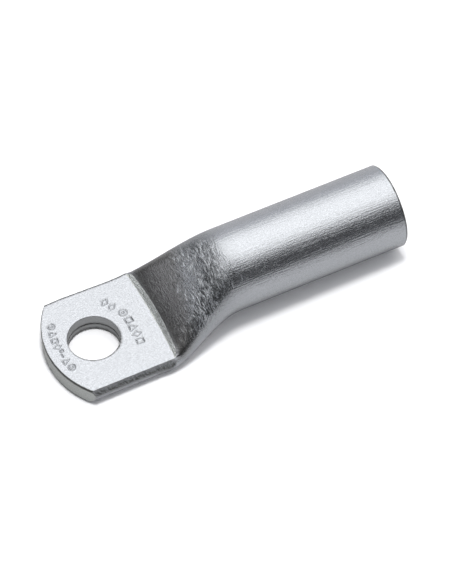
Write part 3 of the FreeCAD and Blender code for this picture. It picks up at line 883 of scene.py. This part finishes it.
def tin():
    """Satin tin over drawn, pressed, sheared and coined copper."""
    material = bpy.data.materials.new("tin_plating")
    n = Nodes(material)
    scaled = n.add("VectorMath", operation="SCALE")
    n.feed(scaled, _0=n.add("TexCoord").outputs["Object"], Scale=1 / MM)
    place = scaled.outputs[0]
    turned = n.add("VectorRotate", rotation_type="AXIS_ANGLE")
    n.feed(turned, Vector=place, Axis=(0, 1, 0), Angle=math.radians(40))
    slanted = turned.outputs[0]
    worn_and_sheen = n.add("Attribute", attribute_name="worn_and_sheen")
    hoop, sheared, cropped = n.feed(n.add("SeparateColor"), Color=worn_and_sheen.outputs["Color"]).outputs
    fresh_and_sheen = n.maths("SUBTRACT", 1.0, worn_and_sheen.outputs["Alpha"])
    dark = n.add("Attribute", attribute_name="dark").outputs["Fac"]

    bend = n.feed(n.add("TexNoise"), Vector=place, Scale=0.35, Detail=1.0)
    moved = n.add("VectorMath", operation="MULTIPLY_ADD")
    n.feed(moved, _0=bend.outputs["Color"], _1=(0.7, 0.0, 0.0), _2=place)
    bent = moved.outputs[0]

    grain = n.noise(place, (1, 1, 1), 3.2, 3.0, 0.65)
    drawn = n.noise(place, (0.05, 1, 1), 3.2, 3.0, 0.65)
    scratches = n.noise(bent, (1, 0.20, 0.20), 3.4, 2.0, 0.6)
    chips = n.noise(bent, (1, 0.25, 0.25), 1.7, 2.0, 0.6)
    clouds = n.noise(place, (1, 0.6, 0.6), 0.30, 2.0, 0.5)
    torn = n.noise(slanted, (1, 0.3, 0.35), 3.2, 3.0, 0.65)
    scored = n.noise(place, (0.3, 1, 0.3), 3.6, 3.0, 0.65)

    x, y, _ = n.feed(n.add("SeparateXYZ"), _0=place).outputs
    along = n.maths("SUBTRACT", x, n.maths("MULTIPLY", y, 0.25))
    later = n.ramp(along, 17.3, 21.0, 0.10, 1.0)
    tube = n.ramp(x, 18.0, 28.0)
    dense = n.maths("MULTIPLY", n.ramp(clouds, 0.40, 0.60, 0.35, 1.0), later)
    deep = n.maths("MULTIPLY", hoop, dense)
    ridges = n.ramp(scratches, 0.45, 0.75)
    flecks = n.ramp(chips, 0.56, 0.72)
    height = n.maths("MULTIPLY", grain, n.ramp(x, 12.0, 24.0, 0.085, 0.06))
    for pattern, depth, where in (
            (drawn, 0.065, tube), (ridges, 0.15, deep), (flecks, 0.20, deep),
            (torn, 0.45, sheared), (scored, 0.09, cropped)):
        part = n.maths("MULTIPLY", n.maths("MULTIPLY", pattern, depth), where)
        height = n.maths("ADD", height, part)
    bump = n.feed(n.add("Bump"), Strength=1.0, Distance=MM, Height=height)

    speck = n.noise(place, (1, 1, 1), 5.5, 2.0, 0.6)
    clean = n.tint(n.ramp(speck, 0.33, 0.67), TIN_DARK, TIN_PALE)
    # Die-rubbed colour, paler towards the barrel as a painted sheen beside its highlight.
    rubbed_and_sheen = n.tint(n.ramp(along, 18.6, 22.0), DIE_DARK, DIE_SHEEN)
    blued_and_sheen = n.tint(n.maths("MULTIPLY", hoop, 0.95), clean, rubbed_and_sheen)
    bright = n.maths("MULTIPLY", n.ramp(scratches, 0.5, 0.66, 0.0, 0.65), deep)
    scuffed = n.tint(bright, blued_and_sheen, SCUFFED)
    cut_edge = n.tint(n.maths("MULTIPLY", cropped, 0.6), scuffed, CROPPED)
    # The upper ramp painted paler: painted reflection on the coined face.
    coined_and_sheen = n.tint(fresh_and_sheen, cut_edge, COINED_AND_SHEEN)
    side = n.tint(n.maths("MULTIPLY", sheared, 0.35), coined_and_sheen, SHEARED)
    # Painted shade and shadow with the seam's and the rim's dark lines, mottled by the tears'
    # noise.
    mottled_shade_and_seam = n.maths("MULTIPLY", dark, n.ramp(torn, 0.38, 0.62, 1.0, 0.45))
    colour = n.tint(mottled_shade_and_seam, side, PAINTED_SHADE_AND_SEAM)
    rough = n.ramp(grain, 0.3, 0.7, 0.17, 0.26)
    n.feed(n.tree.nodes["Principled BSDF"], Base_Color=colour, Metallic=1.0, Roughness=rough,
           Normal=bump.outputs[0])
    return material


lug.data.materials.append(tin())
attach(lug, "root")
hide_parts("cable_lug")

# Floor, light and camera -------------------------------------------------------------------------

HEEL = 12.0
FLOOR_SLOPE = LIFT / (MOUTH - HEEL)
FLOOR_HALF = 2000.0
FLOOR_GAP = 0.01
# As the metal sees it, the floor carries painted shade: darker from 90 to 200 mm in front of the
# lug.
PAPER_FAR_SHADED, PAPER_NEAR = (0.12, 0.12, 0.125, 1), (0.42, 0.42, 0.425, 1)
PAPER_SEEN = (1.0, 1.0, 1.015, 1)


def make_floor():
    """A pale floor through the lug's heel and the bottom of its mouth, whiter to the camera."""
    corners = [(x * FLOOR_HALF, y * FLOOR_HALF, (x * FLOOR_HALF - HEEL) * FLOOR_SLOPE - FLOOR_GAP)
               for x, y in ((-1, -1), (1, -1), (1, 1), (-1, 1))]
    mesh = bpy.data.meshes.new("floor")
    mesh.from_pydata([tuple(c * MM for c in p) for p in corners], [], [(0, 1, 2, 3)])
    floor = bpy.data.objects.new("floor", mesh)
    bpy.context.collection.objects.link(floor)
    material = bpy.data.materials.new("pale_floor")
    n = Nodes(material)
    n.tree.nodes.remove(n.tree.nodes["Principled BSDF"])
    split = n.feed(n.add("SeparateXYZ"), _0=n.add("TexCoord").outputs["Object"])
    # Painted shade on the floor seen in the metal: darker from 90 to 200 mm in front of the lug.
    near = n.ramp(split.outputs[1], -0.20, -0.09)
    paper = n.feed(n.add("BsdfDiffuse"), Color=n.tint(near, PAPER_FAR_SHADED, PAPER_NEAR))
    washed = n.feed(n.add("BsdfDiffuse"), Color=PAPER_SEEN)
    seen = n.add("LightPath").outputs["Is Camera Ray"]
    both = n.feed(n.add("MixShader"), _0=seen, _1=paper.outputs[0], _2=washed.outputs[0])
    n.feed(n.tree.nodes["Material Output"], Surface=both.outputs[0])
    mesh.materials.append(material)


make_floor()


def area_light(name, place, aim, size, radiance, colour=(1, 1, 1), shines=True):
    """An oval soft box of that radiance. One that doesn't shine isn't seen in the metal."""
    data = bpy.data.lights.new(name, "AREA")
    data.shape = "ELLIPSE"
    data.size, data.size_y = size
    data.energy = radiance * math.pi * math.pi / 4 * size[0] * size[1]
    data.color = colour
    light = bpy.data.objects.new(name, data)
    bpy.context.collection.objects.link(light)
    light.location = place
    light.visible_glossy = shines
    direction = np.array(aim, float) - np.array(place, float)
    light.rotation_euler = Vector(direction).to_track_quat("-Z", "Y").to_euler()


area_light("wide_box", (0.20, 0.40, 1.0), (0.2, 0.4, 0.0), (2.3, 2.5), 0.62)
area_light("core_box", (0.25, 0.30, 0.98), (0.25, 0.3, 0.0), (1.4, 1.5), 0.62)
area_light("key", (0.03, -0.06, 1.0), (0.03, 0.0, 0.0), (0.24, 0.24), 42.0, shines=False)
area_light("fill", (0.10, -0.90, 0.50), (0.03, 0.0, 0.0), (0.6, 0.4), 3.0, (0.96, 0.98, 1.0),
           shines=False)

BACKGROUND_TINT = (0.94, 0.95, 1.0, 1)
BACKGROUND_SEEN = 1.2


def studio():
    """Dim surroundings with pale walls behind and beside the lug and a bright edge beyond its tip.

    The camera sees an even white instead.
    """
    world = bpy.data.worlds.new("studio")
    bpy.context.scene.world = world
    n = Nodes(world)
    way = n.feed(n.add("SeparateXYZ"), _0=n.add("TexCoord").outputs["Generated"]).outputs
    behind = n.maths("MULTIPLY", n.ramp(way["Y"], 0.5, 0.95, 0.0, 0.48),
                     n.ramp(way["X"], -0.6, 0.0))
    beyond = n.maths("MULTIPLY", n.ramp(way["X"], -0.75, -0.5, 2.2, 0.0),
                     n.ramp(way["Z"], 0.06, 0.17, 1.0, 0.0))
    beside = n.ramp(way["X"], 0.45, 0.8, 0.055, 0.5)
    walls = n.maths("ADD", n.maths("ADD", behind, beyond), beside)
    seen = n.add("LightPath").outputs["Is Camera Ray"]
    shown = n.feed(n.add("Mix"), _0=seen, _2=walls, _3=BACKGROUND_SEEN)
    n.feed(n.tree.nodes["Background"], Color=BACKGROUND_TINT, Strength=shown.outputs[0])


studio()

# The camera that was fitted to the photograph; its focal length is in the photograph's pixels.
CAMERA_RIGHT = (0.90002566, -0.43568677, -0.01143897)
CAMERA_UP = (0.35813897, 0.72436354, 0.58909587)
CAMERA_BACK = (-0.2483753, -0.53429814, 0.80798218)
CAMERA_PLACE = (-0.15968086, -0.40848622, 0.61982760)
SENSOR = 36.0
FOCAL_PIXELS = 3672.584
PHOTO_HEIGHT = 584

camera_data = bpy.data.cameras.new("camera")
camera_data.sensor_fit = "VERTICAL"
camera_data.sensor_height = SENSOR
camera_data.sensor_width = SENSOR
camera_data.lens = FOCAL_PIXELS * SENSOR / PHOTO_HEIGHT
camera_data.clip_start = 0.01
camera_data.clip_end = 50.0
camera = bpy.data.objects.new("camera", camera_data)
bpy.context.collection.objects.link(camera)
axes = Matrix((CAMERA_RIGHT, CAMERA_UP, CAMERA_BACK)).transposed()
camera.matrix_world = Matrix.Translation(CAMERA_PLACE) @ axes.to_4x4()
bpy.context.scene.camera = camera

bpy.context.scene.view_settings.view_transform = "Standard"
